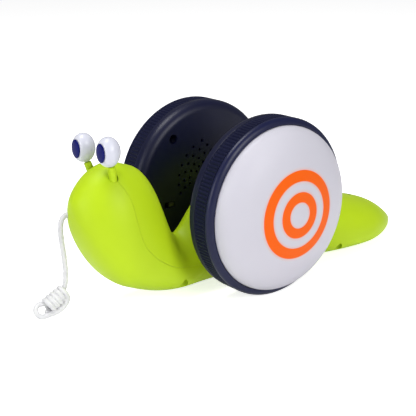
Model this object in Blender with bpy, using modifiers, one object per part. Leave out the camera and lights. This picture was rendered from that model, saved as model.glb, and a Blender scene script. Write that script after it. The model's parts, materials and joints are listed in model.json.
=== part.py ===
# Pull-along snail toy: a hollow two-piece body on one fixed cross axle, two light-up wheels that
# turn freely on it, two sprung eyes, a tail roller and a pull cord.
# Metres, +Z up. The head looks along -X and the toy's left side is at -Y.
# The origin is on the floor, under the middle of the body.
import math

import bmesh
import bpy
import numpy
from mathutils import Matrix, Vector

MM = 0.001

# Driving dimensions, in millimetres
WHEEL_R = 70.0           # tread radius, so the axle is 70 above the floor
AXLE_X = -23.65          # the axle, ahead of the body's middle
AXLE_R = 3.0
AXLE_HALF = 47.5
FIT = 0.3                # gap between touching pieces
WALL = 2.6               # body shell thickness
SEAM_GAP = 0.3
ROUND_SEGS = 36
HOLLOW_SHELLS = ("lower_shell", "back_cover")

# Body outline, measured from the axle along X. The top and bottom give heights above the floor.
NOSE_X = -148.2
NOSE_Z = 85.0
NOSE_ROUND_X = -109.8    # the head's round front ends here
TAIL_X = 195.5
TAIL_Z = 7.4
TAIL_ROUND_X = 132.0     # the tail's round end starts here
BODY_TOP = (
    (-150, 112), (-128, 116), (-105, 112.5), (-88, 102.5), (-80, 90.5), (-73.5, 72),
    (-68, 57.5), (-63, 48.8), (-58, 46.2), (-53, 47.8), (-47, 55), (-40, 65.5), (-25, 81), (0, 86.5), (40, 78),
    (90, 58), (136, 42), (165, 33), (200, 17),
)
BODY_BOTTOM = (
    (-150, 45), (-128, 28.5), (-105, 16.5), (-80, 7.5), (-50, 5), (0, 4), (95, 1.8), (200, 1.8),
)
SOLE = (-32.0, 64.0, 4.8)    # flat under the belly: front, back and height
BODY_HALF_WIDTH = (
    (-150, 28.5), (-128, 29.5), (-105, 28.5), (-80, 25), (-62, 22), (-48, 21), (-30, 22), (0, 24.5),
    (40, 28), (95, 38.5), (136, 38.5), (165, 31), (200, 16),
)
UPPER_POWER = ((-150, 2.15), (-105, 2.15), (-62, 1.6), (40, 1.6), (110, 1.8), (200, 1.9))
LOWER_POWER = ((-150, 2.2), (-80, 2.5), (40, 2.6), (120, 3.2), (200, 2.6))
WIDEST = 0.34            # height of the widest line, as a share of the section
# Stations along the body: each run's end and its number of stations
STATION_RUNS = ((-109.8, 8), (-34, 16), (132, 8), (190, 7))
OUTER_SIDES = 24
INNER_SIDES = 12

# Seam between the shells, seen from the side, from over the head to behind the hump
SEAM = (
    (-122, 125), (-120, 108), (-116, 99), (-112.5, 90), (-110, 73), (-105.5, 58), (-98, 47.5),
    (-87, 38), (-70, 29), (-47, 25), (0, 24), (60, 25), (80, 28), (94, 38), (101, 52), (104, 70),
    (105, 110),
)

# Eyes
EYE_X = -125.6
EYE_Y = 16.4
EYE_Z = {"left": 127.4, "right": 124.4}
EYE_SEMI = (8.6, 8.6, 10.9)
FACET_X = 6.0            # the flat on the eye's front, ahead of its centre
IRIS_SEMI = (5.3, 6.8)
IRIS_THICK = 1.0
EYE_PIVOT_X = -119.0
EYE_PIVOT_Y = 12.2
EYE_PIVOT_Z = 97.0
STALK_BASE_R = 3.1
STALK_TOP_R = 2.8
STALK_HOLE_R = 3.3
EYE_SWING = 3.0          # degrees that an eye can be pushed back

# Tail roller, which holds the tail up behind the wheels
ROLLER_X = 120.0
ROLLER_R = 9.0
ROLLER_HALF = 5.5

# Wheel, along its own axis, out from the middle of the toy
HUB_FACE = 29.6
INNER_FACE = 30.4
TREAD_IN = 41.3
TREAD_OUT = 52.7
BEZEL_BOTTOM = 53.3
LENS_RIM = 58.3
LENS_TOP = 80.0
LENS_R = 64.2
DOME_POWER = 2.4
SCREW_PCD_R = 55.0
SCREW_ANGLES = (52, 172, 292)

# Pull cord route from the knot inside the head, from the axle, then along the hanging length
CORD_R = 1.75
CORD_ROUTE = (
    (-140.0, 6.3, 80.6), (-143.8, 8.0, 80.2), (-147.2, 9.5, 79.4), (-149.9, 10.7, 76.6),
    (-150.9, 11.4, 71.5), (-150.8, 12.0, 64.6), (-150.0, 12.6, 57.5), (-149.0, 13.1, 50.2),
    (-148.0, 13.6, 42.6), (-147.6, 14.0, 35.0), (-147.9, 14.3, 27.6), (-148.7, 14.6, 22.6),
)
CORD_EXIT = 2            # the route's point at the face
HANK_CENTRE = (-158.4, 16.7, 12.4)
HANK_SEMI = (14.6, 9.0, 7.4)
HANK_AIM = (-0.84, 0.14, -0.50)

GREEN = (0.42, 0.72, 0.02)
NAVY = (0.013, 0.017, 0.075)
MILK = (0.72, 0.70, 0.78)
WHITE = (0.86, 0.86, 0.88)
IRIS_BLUE = (0.010, 0.018, 0.16)
STEEL = (0.55, 0.56, 0.58)
BOARD_GREEN = (0.02, 0.16, 0.05)
BLACK = (0.02, 0.02, 0.022)
COPPER = (0.75, 0.42, 0.16)


def clear_scene():
    for old in list(bpy.data.objects):
        bpy.data.objects.remove(old, do_unlink=True)


clear_scene()
toy = bpy.data.collections.new("snail_toy")
cutters = bpy.data.collections.new("cutters")
for group in (toy, cutters):
    bpy.context.scene.collection.children.link(group)


def place(x, y, z):
    """A point measured from the axle along X, in metres."""
    return Vector(((x + AXLE_X) * MM, y * MM, z * MM))


def finish(name, colour, roughness, metallic=0.0):
    mat = bpy.data.materials.new(name)
    mat.use_nodes = True
    shader = mat.node_tree.nodes["Principled BSDF"]
    shader.inputs["Base Color"].default_value = (*colour, 1.0)
    shader.inputs["Roughness"].default_value = roughness
    shader.inputs["Metallic"].default_value = metallic
    return mat


def dress(obj, colour, roughness, metallic=0.0, smooth=True):
    obj.data.materials.append(finish(obj.name + "_finish", colour, roughness, metallic))
    if smooth:
        obj.data.shade_smooth()
        obj.data.set_sharp_from_angle(angle=math.radians(40))
    return obj


def add(name, mesh, parent=None, cutter=False):
    obj = bpy.data.objects.new(name, mesh)
    (cutters if cutter else toy).objects.link(obj)
    obj.parent = parent
    if cutter:
        obj.hide_render = True
        obj.display_type = 'WIRE'
    return obj


def from_bmesh(name, bm, parent=None, cutter=False):
    mesh = bpy.data.meshes.new(name)
    if bm.faces and bm.calc_volume(signed=True) < 0:
        bmesh.ops.reverse_faces(bm, faces=bm.faces)
    bm.to_mesh(mesh)
    bm.free()
    return add(name, mesh, parent, cutter)


def box(name, low, high, parent=None, cutter=False):
    """A box between two corners in millimetres, in its parent's frame or from the axle."""
    bm = bmesh.new()
    bmesh.ops.create_cube(bm, size=1.0)
    middle = [(a + b) / 2 for a, b in zip(low, high)]
    size = [b - a for a, b in zip(low, high)]
    for v in bm.verts:
        v.co = Vector([(m + c * s) * MM for m, c, s in zip(middle, v.co, size)])
    obj = from_bmesh(name, bm, parent, cutter)
    if parent is None:
        obj.location = place(0, 0, 0)
    return obj


def rod(name, start, end, radius, segs=16, parent=None, cutter=False, end_radius=None):
    """A round bar or cone between two points in millimetres."""
    a = Vector(start)
    b = Vector(end)
    bm = bmesh.new()
    top = radius if end_radius is None else end_radius
    bmesh.ops.create_cone(bm, cap_ends=True, segments=segs, radius1=radius * MM, radius2=top * MM,
                          depth=(b - a).length * MM)
    turn = Vector((0, 0, 1)).rotation_difference(b - a)
    for v in bm.verts:
        v.co = turn @ v.co + (a + b) / 2 * MM
    obj = from_bmesh(name, bm, parent, cutter)
    if parent is None:
        obj.location = place(0, 0, 0)
    return obj


def turned(name, profile, segs, parent=None, cutter=False):
    """A turned piece about its own Z, from a closed (radius, height) outline in millimetres."""
    on_axis = profile[0][0] == 0
    verts = [(r * MM, 0.0, h * MM) for r, h in profile]
    count = len(verts)
    edges = [(i, i + 1) for i in range(count - 1)]
    if not on_axis:
        edges.append((count - 1, 0))
    mesh = bpy.data.meshes.new(name)
    mesh.from_pydata(verts, edges, [])
    obj = add(name, mesh, parent, cutter)
    screw = obj.modifiers.new("turn", 'SCREW')
    screw.steps = segs
    screw.render_steps = segs
    screw.use_merge_vertices = True
    screw.merge_threshold = 0.00001
    screw.use_smooth_shade = True
    return obj


def boolean(obj, tool, how):
    mod = obj.modifiers.new(how.lower(), 'BOOLEAN')
    mod.operation = how
    if obj.name in HOLLOW_SHELLS:
        mod.solver = 'MANIFOLD'    # EXACT fills a closed hollow
    else:
        mod.solver = 'EXACT'
    mod.object = tool


def cut(obj, *tools):
    for tool in tools:
        boolean(obj, tool, 'DIFFERENCE')


def join(obj, *tools):
    for tool in tools:
        boolean(obj, tool, 'UNION')


def keep_inside(obj, tool):
    boolean(obj, tool, 'INTERSECT')


def axis_empty(name, location, rotation=(0, 0, 0)):
    empty = bpy.data.objects.new(name, None)
    cutters.objects.link(empty)
    empty.location = location
    empty.rotation_euler = rotation
    return empty


# Body surface

def smooth_value(x, knots):
    """Cubic curve through (x, value) knots."""
    xs = [k[0] for k in knots]
    ys = [k[1] for k in knots]
    slopes = [(ys[i + 1] - ys[i]) / (xs[i + 1] - xs[i]) for i in range(len(xs) - 1)]
    tangents = [slopes[0]]
    for i in range(1, len(slopes)):
        before = xs[i] - xs[i - 1]
        after = xs[i + 1] - xs[i]
        tangents.append((slopes[i - 1] * after + slopes[i] * before) / (before + after))
    tangents.append(slopes[-1])
    x = min(max(x, xs[0]), xs[-1])
    i = min(max(j for j in range(len(xs)) if xs[j] <= x), len(xs) - 2)
    span = xs[i + 1] - xs[i]
    t = (x - xs[i]) / span
    return (
        (1 + 2 * t) * (1 - t) ** 2 * ys[i] + t * (1 - t) ** 2 * span * tangents[i]
        + t * t * (3 - 2 * t) * ys[i + 1] + t * t * (t - 1) * span * tangents[i + 1]
    )


def body_section(x):
    """Bottom, widest height, top, half width and the two corner powers at a station."""
    top = smooth_value(x, BODY_TOP)
    bottom = smooth_value(x, BODY_BOTTOM)
    half = smooth_value(x, BODY_HALF_WIDTH)
    centre = (top + bottom) / 2
    size = 1.0
    if x < NOSE_ROUND_X:
        share = (NOSE_ROUND_X - x) / (NOSE_ROUND_X - NOSE_X)
        size = math.sqrt(max(0.0, 1 - share ** 2))
        centre = NOSE_Z + (centre - NOSE_Z) * (1 - share ** 2)
    elif x > TAIL_ROUND_X:
        share = (x - TAIL_ROUND_X) / (TAIL_X - TAIL_ROUND_X)
        size = math.sqrt(max(0.0, 1 - share ** 2))
        centre = TAIL_Z + (centre - TAIL_Z) * (1 - share ** 2)
    low = centre + (bottom - centre) * size
    high = centre + (top - centre) * size
    widest = low + (high - low) * WIDEST
    return low, widest, high, half * size, smooth_value(x, UPPER_POWER), smooth_value(x, LOWER_POWER)


def body_ring(x, sides):
    low, widest, high, half, upper, lower = body_section(x)
    ring = []
    for k in range(sides):
        angle = 2 * math.pi * k / sides
        c = math.cos(angle)
        s = math.sin(angle)
        power = upper if s >= 0 else lower
        y = half * math.copysign(abs(c) ** (2 / power), c)
        rise = high - widest if s >= 0 else widest - low
        z = widest + rise * math.copysign(abs(s) ** (2 / power), s)
        ring.append(((x + AXLE_X) * MM, y * MM, z * MM))
    return ring


def body_stations():
    """Stations from nose to tail, closer together at the round ends and in the saddle."""
    stations = []
    start = NOSE_X
    for end, count in STATION_RUNS:
        for k in range(1, count + 1):
            share = k / count
            if start == NOSE_X:
                share = 1 - math.cos(math.pi / 2 * share)
            elif end > TAIL_ROUND_X:
                share = math.sin(math.pi / 2 * share)
            stations.append(start + (end - start) * share)
        start = end
    return stations


def body_loft(name, sides, inset=0.0):
    """Closed loft of the body, moved inwards by the inset."""
    bm = bmesh.new()
    loops = [[bm.verts.new(p) for p in body_ring(x, sides)] for x in body_stations()]
    nose = bm.verts.new(place(NOSE_X, 0, NOSE_Z))
    tail = bm.verts.new(place(TAIL_X, 0, TAIL_Z))
    for a, b in zip(loops, loops[1:]):
        for k in range(sides):
            n = (k + 1) % sides
            bm.faces.new((a[k], a[n], b[n], b[k]))
    for k in range(sides):
        n = (k + 1) % sides
        bm.faces.new((nose, loops[0][n], loops[0][k]))
        bm.faces.new((tail, loops[-1][k], loops[-1][n]))
    bmesh.ops.recalc_face_normals(bm, faces=bm.faces)
    if inset:
        bm.normal_update()
        moved = [v.co - v.normal * inset * MM for v in bm.verts]
        for v, co in zip(bm.verts, moved):
            v.co = co
    return from_bmesh(name, bm, cutter=True)


def seam_points(shift):
    """The seam line moved by the shift across itself, in the side view."""
    pts = [numpy.array(p, dtype=float) for p in SEAM]
    moved = []
    for i, p in enumerate(pts):
        along = pts[min(i + 1, len(pts) - 1)] - pts[max(i - 1, 0)]
        along = along / numpy.linalg.norm(along)
        moved.append(p + shift * numpy.array([-along[1], along[0]]))
    return moved


def seam_prism(name, shift):
    """Everything above the seam line, from side to side."""
    outline = [(float(p[0]), float(p[1])) for p in seam_points(shift)]
    outline.append((105.0, 150.0))
    outline.append((-122.0, 150.0))
    bm = bmesh.new()
    near = [bm.verts.new(place(x, -60, z)) for x, z in outline]
    far = [bm.verts.new(place(x, 60, z)) for x, z in outline]
    bm.faces.new(near)
    bm.faces.new(list(reversed(far)))
    for i in range(len(outline)):
        n = (i + 1) % len(outline)
        bm.faces.new((near[i], far[i], far[n], near[n]))
    bmesh.ops.recalc_face_normals(bm, faces=bm.faces)
    return from_bmesh(name, bm, cutter=True)


SIDES = (("left", -1), ("right", 1))
outer = body_loft("body_outer", OUTER_SIDES)
inner = body_loft("body_inner", INNER_SIDES, WALL)
core = body_loft("body_core", INNER_SIDES, WALL / 2)

# Screw places: counterbores come up from the belly and the tail, one comes down on the tail
BELLY_SCREW = (-64.0, 17.8)
TAIL_SCREW = (93.0, 33.6)
TAIL_TOP_X = 140.0
COUNTERBORE_R = 4.2
SCREW_SEAT = 19.0
TOP_SEAT = 32.5

screw_bosses = []
for side, sign in SIDES:
    for x, y, boss_top in ((*BELLY_SCREW, 44.0), (*TAIL_SCREW, 60.0)):
        label = side + ("_belly" if x < 0 else "_tail")
        boss = rod(label + "_boss", (x, sign * y, 0), (x, sign * y, boss_top), 6.2, cutter=True)
        keep_inside(boss, core)
        screw_bosses.append(boss)

lower_shell = from_bmesh("lower_shell", bmesh.new())
lower_shell.data = outer.data.copy()
back_cover = from_bmesh("back_cover", bmesh.new())
back_cover.data = outer.data.copy()
for shell in (lower_shell, back_cover):
    cut(shell, inner)
    join(shell, *screw_bosses)

# Tail recess boss, and the cover's tongue that its screw bites into
top_boss = rod("tail_top_boss", (TAIL_TOP_X, 0, 31.0), (TAIL_TOP_X, 0, 60), 6.2, cutter=True)
keep_inside(top_boss, core)
join(lower_shell, top_boss)
tongue = box("cover_tongue", (82, -7, 24), (146, 7, 28.5), cutter=True)
tongue_rib = box("cover_tongue_rib", (84, -6, 26), (94, 6, 80), cutter=True)
keep_inside(tongue_rib, core)

# Roller ears inside the tail
for side, sign in SIDES:
    ear = box(side + "_roller_ear", (ROLLER_X - 7, min(sign * 7, sign * 10), 0),
              (ROLLER_X + 7, max(sign * 7, sign * 10), 17), cutter=True)
    keep_inside(ear, core)
    join(lower_shell, ear)

# Axle bosses reach from the hump out to the wheels
for side, sign in SIDES:
    axle_boss = rod(side + "_axle_boss", (0, sign * 7, WHEEL_R), (0, sign * 27.4, WHEEL_R), 8.5, 24,
                    cutter=True)
    join(back_cover, axle_boss)

cut(lower_shell, seam_prism("seam_lower", -SEAM_GAP / 2))
keep_inside(back_cover, seam_prism("seam_cover", SEAM_GAP / 2))
join(back_cover, tongue_rib, tongue)

# Holes: screws, axle, roller slot, eye slots, cord hole, and the flat sole
for side, sign in SIDES:
    for x, y, top in ((*BELLY_SCREW, 34.5), (*TAIL_SCREW, 32.5)):
        label = side + ("_belly" if x < 0 else "_tail")
        seat = (x, sign * y, SCREW_SEAT)
        bore = rod(label + "_counterbore", (x, sign * y, -5), seat, COUNTERBORE_R, cutter=True)
        pilot = rod(label + "_pilot", (x, sign * y, SCREW_SEAT - 1), (x, sign * y, top), 1.9, 12,
                    cutter=True)
        cut(lower_shell, bore, pilot)
        cut(back_cover, pilot)
top_bore = rod("tail_top_counterbore", (TAIL_TOP_X, 0, TOP_SEAT), (TAIL_TOP_X, 0, 60), COUNTERBORE_R,
               cutter=True)
top_pilot = rod("tail_top_pilot", (TAIL_TOP_X, 0, 20), (TAIL_TOP_X, 0, TOP_SEAT + 1), 1.9, 12, cutter=True)
cut(lower_shell, top_bore, top_pilot)
cut(back_cover, top_pilot)
axle_bore = rod("axle_bore", (0, -40, WHEEL_R), (0, 40, WHEEL_R), 5.6, 24, cutter=True)
cut(back_cover, axle_bore)
roller_slot = box("roller_slot", (ROLLER_X - 11, -6.4, -5), (ROLLER_X + 11, 6.4, 19), cutter=True)
pin_hole = rod("roller_pin_hole", (ROLLER_X, -11, ROLLER_R), (ROLLER_X, 11, ROLLER_R), 1.8, 12, cutter=True)
sole = box("sole_cut", (SOLE[0], -40, -10), (SOLE[1], 40, SOLE[2]), cutter=True)
cut(lower_shell, roller_slot, pin_hole, sole)
for side, sign in SIDES:
    eye_pivot = Vector((EYE_PIVOT_X, sign * EYE_PIVOT_Y, EYE_PIVOT_Z))
    stalk_top = Vector((EYE_X + 2.3, sign * (EYE_Y - 0.4), EYE_Z[side] - EYE_SEMI[2] - FIT))
    rest_aim = (stalk_top - eye_pivot).normalized()
    pocket = box(side + "_eye_pocket", (-123.8, min(sign * 8.3, sign * 16.2), 92.4),
                 (-114.2, max(sign * 8.3, sign * 16.2), 101.3), cutter=True)
    cut(lower_shell, pocket)
    cut(back_cover, pocket)
    for step in range(4):
        turn = Matrix.Rotation(math.radians((EYE_SWING + 1) * step / 3), 3, 'Y')
        aim = turn @ rest_aim
        hole = rod(f"{side}_stalk_hole_{step}", eye_pivot + aim * 2, eye_pivot + aim * 22, STALK_HOLE_R,
                   cutter=True)
        cut(lower_shell, hole)
        cut(back_cover, hole)
cord_hole_aim = (Vector(CORD_ROUTE[CORD_EXIT]) - Vector(CORD_ROUTE[0])).normalized()
hole_start = Vector(CORD_ROUTE[0])
cord_hole = rod("cord_hole", hole_start - cord_hole_aim * 3, hole_start + cord_hole_aim * 16,
                CORD_R + 0.7, 12, cutter=True)
cut(lower_shell, cord_hole)
dress(lower_shell, GREEN, 0.42)
dress(back_cover, GREEN, 0.42)


def screw(name, seat, down, length, parent=None, head_r=3.2, shank_r=1.5):
    """A pan head screw whose head sits on the seat and whose shank goes the other way."""
    start = Vector(seat)
    aim = Vector(down)
    obj = rod(name, start - aim * FIT, start - aim * (FIT + 2.2), head_r, 14, parent)
    shank = rod(name + "_shank", start - aim * (FIT + 0.5), start + aim * length, shank_r, 10, parent, True)
    join(obj, shank)
    return dress(obj, STEEL, 0.3, 1.0)


for side, sign in SIDES:
    screw(side + "_belly_screw", (BELLY_SCREW[0], sign * BELLY_SCREW[1], SCREW_SEAT), (0, 0, 1), 13)
    screw(side + "_tail_screw", (TAIL_SCREW[0], sign * TAIL_SCREW[1], SCREW_SEAT), (0, 0, 1), 12)
screw("tail_top_screw", (TAIL_TOP_X, 0, TOP_SEAT), (0, 0, -1), 10)

# Axle with its bushes and clips
axle = rod("axle", (0, -AXLE_HALF, WHEEL_R), (0, AXLE_HALF, WHEEL_R), AXLE_R, 20)
dress(axle, STEEL, 0.25, 1.0)

# Tail roller
roller_axis = axis_empty("roller_axis", place(ROLLER_X, 0, ROLLER_R), (math.pi / 2, 0, 0))
roller = turned("tail_roller", [
    (ROLLER_R - 1.0, ROLLER_HALF), (ROLLER_R, ROLLER_HALF - 1.0), (ROLLER_R, 1.0 - ROLLER_HALF),
    (ROLLER_R - 1.0, -ROLLER_HALF), (1.8, -ROLLER_HALF), (1.8, ROLLER_HALF)], 20, roller_axis)
dress(roller, BLACK, 0.6, smooth=False)
pin = rod("roller_pin", (ROLLER_X, -9.8, ROLLER_R), (ROLLER_X, 9.8, ROLLER_R), 1.5, 12)
dress(pin, STEEL, 0.3, 1.0)


# Eyes

def make_eye(side, sign):
    pivot = axis_empty(side + "_eye_axis", place(EYE_PIVOT_X, sign * EYE_PIVOT_Y, EYE_PIVOT_Z))
    centre = Vector((EYE_X - EYE_PIVOT_X, sign * (EYE_Y - EYE_PIVOT_Y), EYE_Z[side] - EYE_PIVOT_Z))
    bm = bmesh.new()
    bmesh.ops.create_uvsphere(bm, u_segments=18, v_segments=10, radius=1.0)
    for v in bm.verts:
        v.co = Vector([(c + k * s) * MM for c, k, s in zip(centre, v.co, EYE_SEMI)])
    ball = from_bmesh(side + "_eyeball", bm, pivot)
    front = centre.x - FACET_X
    facet = box(side + "_facet", (front - 10, centre.y - 15, centre.z - 15),
                (front, centre.y + 15, centre.z + 15), pivot, True)
    cut(ball, facet)
    dress(ball, WHITE, 0.18)

    bm = bmesh.new()
    bmesh.ops.create_cone(bm, cap_ends=True, segments=24, radius1=1.0, radius2=0.9, depth=1.0)
    for v in bm.verts:
        x = front - FIT - IRIS_THICK * (v.co.z + 0.5)
        y = centre.y + IRIS_SEMI[0] * v.co.x
        z = centre.z + IRIS_SEMI[1] * v.co.y
        v.co = Vector((x, y, z)) * MM
    iris = from_bmesh(side + "_iris", bm, pivot)
    dress(iris, IRIS_BLUE, 0.12)

    neck_top = centre + Vector((2.3, -sign * 0.4, -EYE_SEMI[2] - FIT))
    stalk = rod(side + "_eye_stalk", (0, 0, 0), neck_top, STALK_BASE_R, 16, pivot, end_radius=STALK_TOP_R)
    barrel = rod(side + "_stalk_barrel", (0, -3.4, 0), (0, 3.4, 0), 4.0, 14, pivot, True)
    bore = rod(side + "_stalk_bore", (0, -6, 0), (0, 6, 0), 1.8, 12, pivot, True)
    join(stalk, barrel)
    cut(stalk, bore)
    dress(stalk, GREEN, 0.42)


for side, sign in SIDES:
    make_eye(side, sign)
eye_pin = rod("eye_pin", (EYE_PIVOT_X, -16.2, EYE_PIVOT_Z), (EYE_PIVOT_X, 16.2, EYE_PIVOT_Z), 1.5, 12)
dress(eye_pin, STEEL, 0.3, 1.0)

# Wheels, both the same unit, the right one turned half round


def shoulder(radius, face, steps):
    """The rounded edge from the tread down to the inner face."""
    return [
        (radius - 8.0 + 8.0 * math.cos(math.pi / 2 * k / steps),
         face + 8.0 - 8.0 * math.sin(math.pi / 2 * k / steps))
        for k in range(steps + 1)
    ]


def dome_height(radius):
    return LENS_RIM + (LENS_TOP - LENS_RIM) * math.sqrt(1 - (radius / LENS_R) ** DOME_POWER)


def make_wheel(side, sign):
    half_turn = 0 if sign < 0 else math.pi
    hub = axis_empty(side + "_wheel_axis", place(0, 0, WHEEL_R), (math.pi / 2, 0, half_turn))
    bolts = [(SCREW_PCD_R * math.cos(math.radians(a)), SCREW_PCD_R * math.sin(math.radians(a)))
             for a in SCREW_ANGLES]

    housing = turned(side + "_housing", [
        (67.8, TREAD_OUT + FIT), (67.8, TREAD_IN - FIT), (WHEEL_R, TREAD_IN - FIT),
        *shoulder(WHEEL_R, INNER_FACE, 3), (10, INNER_FACE), (9, HUB_FACE),
        (AXLE_R + FIT, HUB_FACE), (AXLE_R + FIT, 45.0), (7, 45.0), (7, INNER_FACE + 2.4),
        (62, INNER_FACE + 2.4), (65.2, INNER_FACE + 6.5), (65.2, TREAD_OUT + FIT)], ROUND_SEGS, hub)
    for k, (u, v) in enumerate(bolts):
        boss = rod(f"{side}_boss_{k}", (u, v, INNER_FACE + 1), (u, v, 49.7), 5.0, 12, hub, True)
        recess = rod(f"{side}_recess_{k}", (u, v, INNER_FACE - 5), (u, v, 40), 3.9, 12, hub, True)
        pilot = rod(f"{side}_pilot_{k}", (u, v, 39), (u, v, 60), 1.8, 8, hub, True)
        join(housing, boss)
        cut(housing, recess, pilot)
    door_hole = box(side + "_door_hole", (-26, -44, INNER_FACE - 2), (26, -19, INNER_FACE + 5), hub, True)
    switch_hole = box(side + "_switch_hole", (34, -13, INNER_FACE - 2), (44, -8, INNER_FACE + 5), hub, True)
    cut(housing, door_hole, switch_hole)
    dress(housing, NAVY, 0.45)

    tread = turned(side + "_tread", [
        (WHEEL_R, TREAD_OUT), (WHEEL_R, TREAD_IN), (68.1, TREAD_IN), (68.1, TREAD_OUT)], ROUND_SEGS, hub)
    dress(tread, NAVY, 0.6)

    bezel = turned(side + "_bezel", [
        (64.5, 57.9), (66.6, 57.5), (68.5, 56.4), (69.6, 54.9), (WHEEL_R, BEZEL_BOTTOM),
        (50, BEZEL_BOTTOM), (50, BEZEL_BOTTOM + 2.2), (64.5, BEZEL_BOTTOM + 2.2)], ROUND_SEGS, hub)
    for k, (u, v) in enumerate(bolts):
        pilot = rod(f"{side}_bezel_pilot_{k}", (u, v, 50), (u, v, 60), 1.8, 8, hub, True)
        cut(bezel, pilot)
    dress(bezel, NAVY, 0.4)

    radii = (0, 22, 40, 52, 59, 62.6, LENS_R)
    under = (58.5, 46, 24, 0)
    lens = turned(side + "_lens", [(r, dome_height(r)) for r in radii]
                  + [(LENS_R, BEZEL_BOTTOM + 2.5), (61.8, BEZEL_BOTTOM + 2.5), (61.8, LENS_RIM)]
                  + [(r, dome_height(r) - 2.2) for r in under], ROUND_SEGS, hub)
    dress(lens, MILK, 0.3)

    board = rod(side + "_circuit_board", (0, 0, 50.2), (0, 0, 51.8), 40, 28, hub)
    dress(board, BOARD_GREEN, 0.5)
    for k in (-1, 1):
        end = 'a' if k < 0 else 'b'
        led = rod(f"{side}_led_{end}", (k * 20, 0, 52.1), (k * 20, 0, 57), 2.5, 12, hub, end_radius=1.6)
        dress(led, WHITE, 0.2)
        height = -31.5 + k * 5.6
        cell = rod(f"{side}_cell_{end}", (-22, height, 39.5), (22, height, 39.5), 5.2, 14, hub)
        dress(cell, COPPER, 0.4, 0.6)
    holder = box(side + "_cell_holder", (-25, -44, 45.2), (25, -19, 49.0), hub)
    for k in (-1, 1):
        wall = box(f"{side}_holder_end_{k}", (k * 24 - 1, -44, 33.8), (k * 24 + 1, -19, 46), hub, True)
        join(holder, wall)
    dress(holder, BLACK, 0.5, smooth=False)
    door = box(side + "_battery_door", (-25.6, -43.6, INNER_FACE), (25.6, -19.4, INNER_FACE + 2.0), hub)
    door_pilot = rod(side + "_door_pilot", (0, -40.5, 25), (0, -40.5, 40), 1.3, 8, hub, True)
    cut(door, door_pilot)
    dress(door, NAVY, 0.45, smooth=False)
    dress(rod(side + "_door_screw", (0, -40.5, INNER_FACE - 0.1), (0, -40.5, INNER_FACE + 3.4), 1.0, 8, hub),
          STEEL, 0.3, 1.0)

    speaker = turned(side + "_speaker", [
        (0, 41.0), (8, 41.0), (8, 37.5), (17, 36.0), (17, INNER_FACE + 2.7), (0, INNER_FACE + 2.7)], 20, hub)
    speaker.location = Vector((12, 24, 0)) * MM
    dress(speaker, BLACK, 0.5)
    slider = box(side + "_switch", (34.6, -12.4, INNER_FACE + 0.2), (39.4, -8.6, INNER_FACE + 4.4),
                 hub)
    dress(slider, BLACK, 0.5, smooth=False)
    for k, (u, v) in enumerate(bolts):
        screw(f"{side}_wheel_screw_{'abc'[k]}", (u, v, 40), (0, 0, 1), 15.0, hub, 2.9, 1.4)

    bush = turned(side + "_axle_bush", [
        (7.6, HUB_FACE - FIT), (7.6, 27.7), (5.3, 27.7), (5.3, 10), (AXLE_R + FIT, 10),
        (AXLE_R + FIT, HUB_FACE - FIT)], 24, hub)
    dress(bush, WHITE, 0.5)
    clip = turned(side + "_axle_clip", [
        (6.5, 46.9), (6.5, 45.4), (AXLE_R + FIT, 45.4), (AXLE_R + FIT, 46.9)], 20, hub)
    dress(clip, STEEL, 0.3, 1.0)


for side, sign in SIDES:
    make_wheel(side, sign)


# Pull cord

def curve_through(points, step):
    """Evenly spaced points on a smooth curve through the given ones."""
    pts = [Vector(p) for p in points]
    pts = [pts[0] * 2 - pts[1]] + pts + [pts[-1] * 2 - pts[-2]]
    fine = []
    for a, b, c, d in zip(pts, pts[1:], pts[2:], pts[3:]):
        for k in range(12):
            t = k / 12
            fine.append(0.5 * (2 * b + (c - a) * t + (2 * a - 5 * b + 4 * c - d) * t * t
                               + (3 * b - a - 3 * c + d) * t ** 3))
    fine.append(pts[-2])
    total = sum((q - p).length for p, q in zip(fine, fine[1:]))
    count = max(2, round(total / step))
    spaced = [fine[0]]
    run = 0.0
    for p, q in zip(fine, fine[1:]):
        length = (q - p).length
        while len(spaced) < count and run + length >= total * len(spaced) / count:
            share = (total * len(spaced) / count - run) / length
            spaced.append(p.lerp(q, share))
        run += length
    spaced.append(fine[-1])
    return spaced


def tube(name, points, radius):
    data = bpy.data.curves.new(name, 'CURVE')
    data.dimensions = '3D'
    data.bevel_depth = radius * MM
    data.bevel_resolution = 2
    data.use_fill_caps = True
    spline = data.splines.new('POLY')
    spline.points.add(len(points) - 1)
    for slot, p in zip(spline.points, points):
        slot.co = (*place(*p), 1.0)
    obj = bpy.data.objects.new(name, data)
    toy.objects.link(obj)
    data.materials.append(finish(name + "_finish", WHITE, 0.8))
    return obj


tube("pull_cord", curve_through(CORD_ROUTE, 4.0), CORD_R)

bm = bmesh.new()
bmesh.ops.create_uvsphere(bm, u_segments=12, v_segments=8, radius=3.6 * MM)
knot = from_bmesh("cord_knot", bm)
knot.location = place(*(hole_start - cord_hole_aim * (3.6 + FIT)))
dress(knot, WHITE, 0.8)

bm = bmesh.new()
bmesh.ops.create_uvsphere(bm, u_segments=12, v_segments=8, radius=1.0)
lay = Vector((1, 0, 0)).rotation_difference(Vector(HANK_AIM))
for v in bm.verts:
    v.co = lay @ (Vector([c * s for c, s in zip(v.co, HANK_SEMI)]) * MM)
hank = from_bmesh("cord_hank", bm)
hank.location = place(*HANK_CENTRE)
dress(hank, WHITE, 0.8)
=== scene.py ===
import json
import math

import bmesh
import bpy
import numpy as np
from mathutils import Matrix, Vector


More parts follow.
